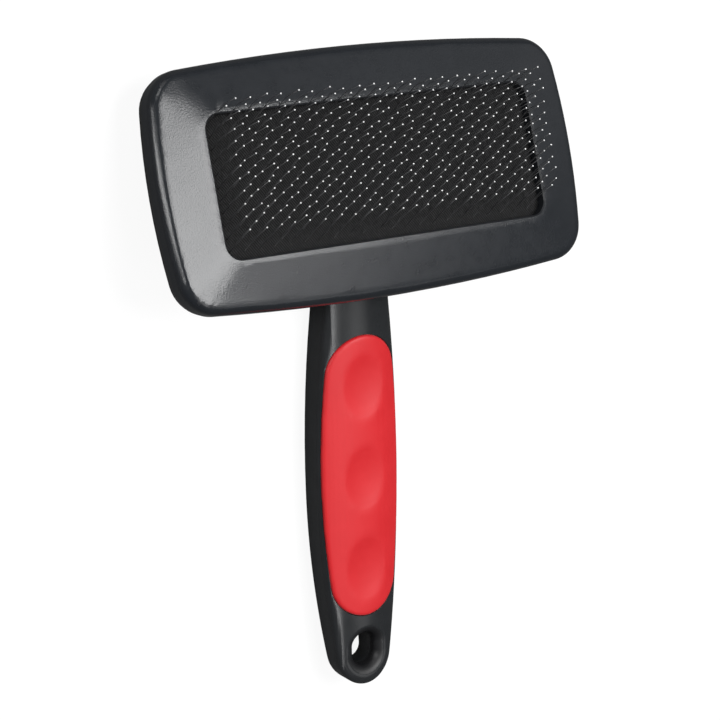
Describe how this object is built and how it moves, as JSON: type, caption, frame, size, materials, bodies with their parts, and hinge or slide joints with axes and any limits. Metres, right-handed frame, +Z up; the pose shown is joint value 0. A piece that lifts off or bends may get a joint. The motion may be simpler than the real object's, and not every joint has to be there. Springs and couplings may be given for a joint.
{
  "type": "slicker brush",
  "caption": "Pet grooming brush: a wide rectangular head with a recessed cloth pad of bent wire pins on an angled handle with a soft inlaid grip and a hanging hole.",
  "frame": {"origin": "middle of the underside of the brush as it lies on its back, on the surface it rests on", "axes": "+X across the brush, +Y along the handle from its end towards the head, +Z up, out of the handle's front; the face of the head leans 16 degrees from +Z towards +Y"},
  "size_m": [0.1216, 0.1678, 0.0349],
  "materials": {
    "black_plastic": "glossy injection-moulded black plastic with a fine mottle",
    "soft_grip": "matt soft-touch red thermoplastic rubber",
    "foundation": "black diagonal twill cloth",
    "foam": "dark grey closed-cell foam",
    "board": "plain black sheet",
    "wire": "drawn steel wire"
  },
  "bodies": {
    "root": {"front_frame": "black_plastic", "back_shell": "black_plastic", "handle_front": "black_plastic", "front_grip": "soft_grip", "foundation_cloth": "foundation", "foam_cushion": "foam", "backing_board": "board", "pin_row_01": "wire", "pin_row_02": "wire", "pin_row_03": "wire", "pin_row_04": "wire", "pin_row_05": "wire", "pin_row_06": "wire", "pin_row_07": "wire", "pin_row_08": "wire", "pin_row_09": "wire", "pin_row_10": "wire", "pin_row_11": "wire", "pin_row_12": "wire", "pin_row_13": "wire", "pin_row_14": "wire", "pin_row_15": "wire", "pin_row_16": "wire", "pin_row_17": "wire", "pin_row_18": "wire", "pin_row_19": "wire", "pin_row_20": "wire", "pin_row_21": "wire", "pin_row_22": "wire"}
  },
  "joints": []
}
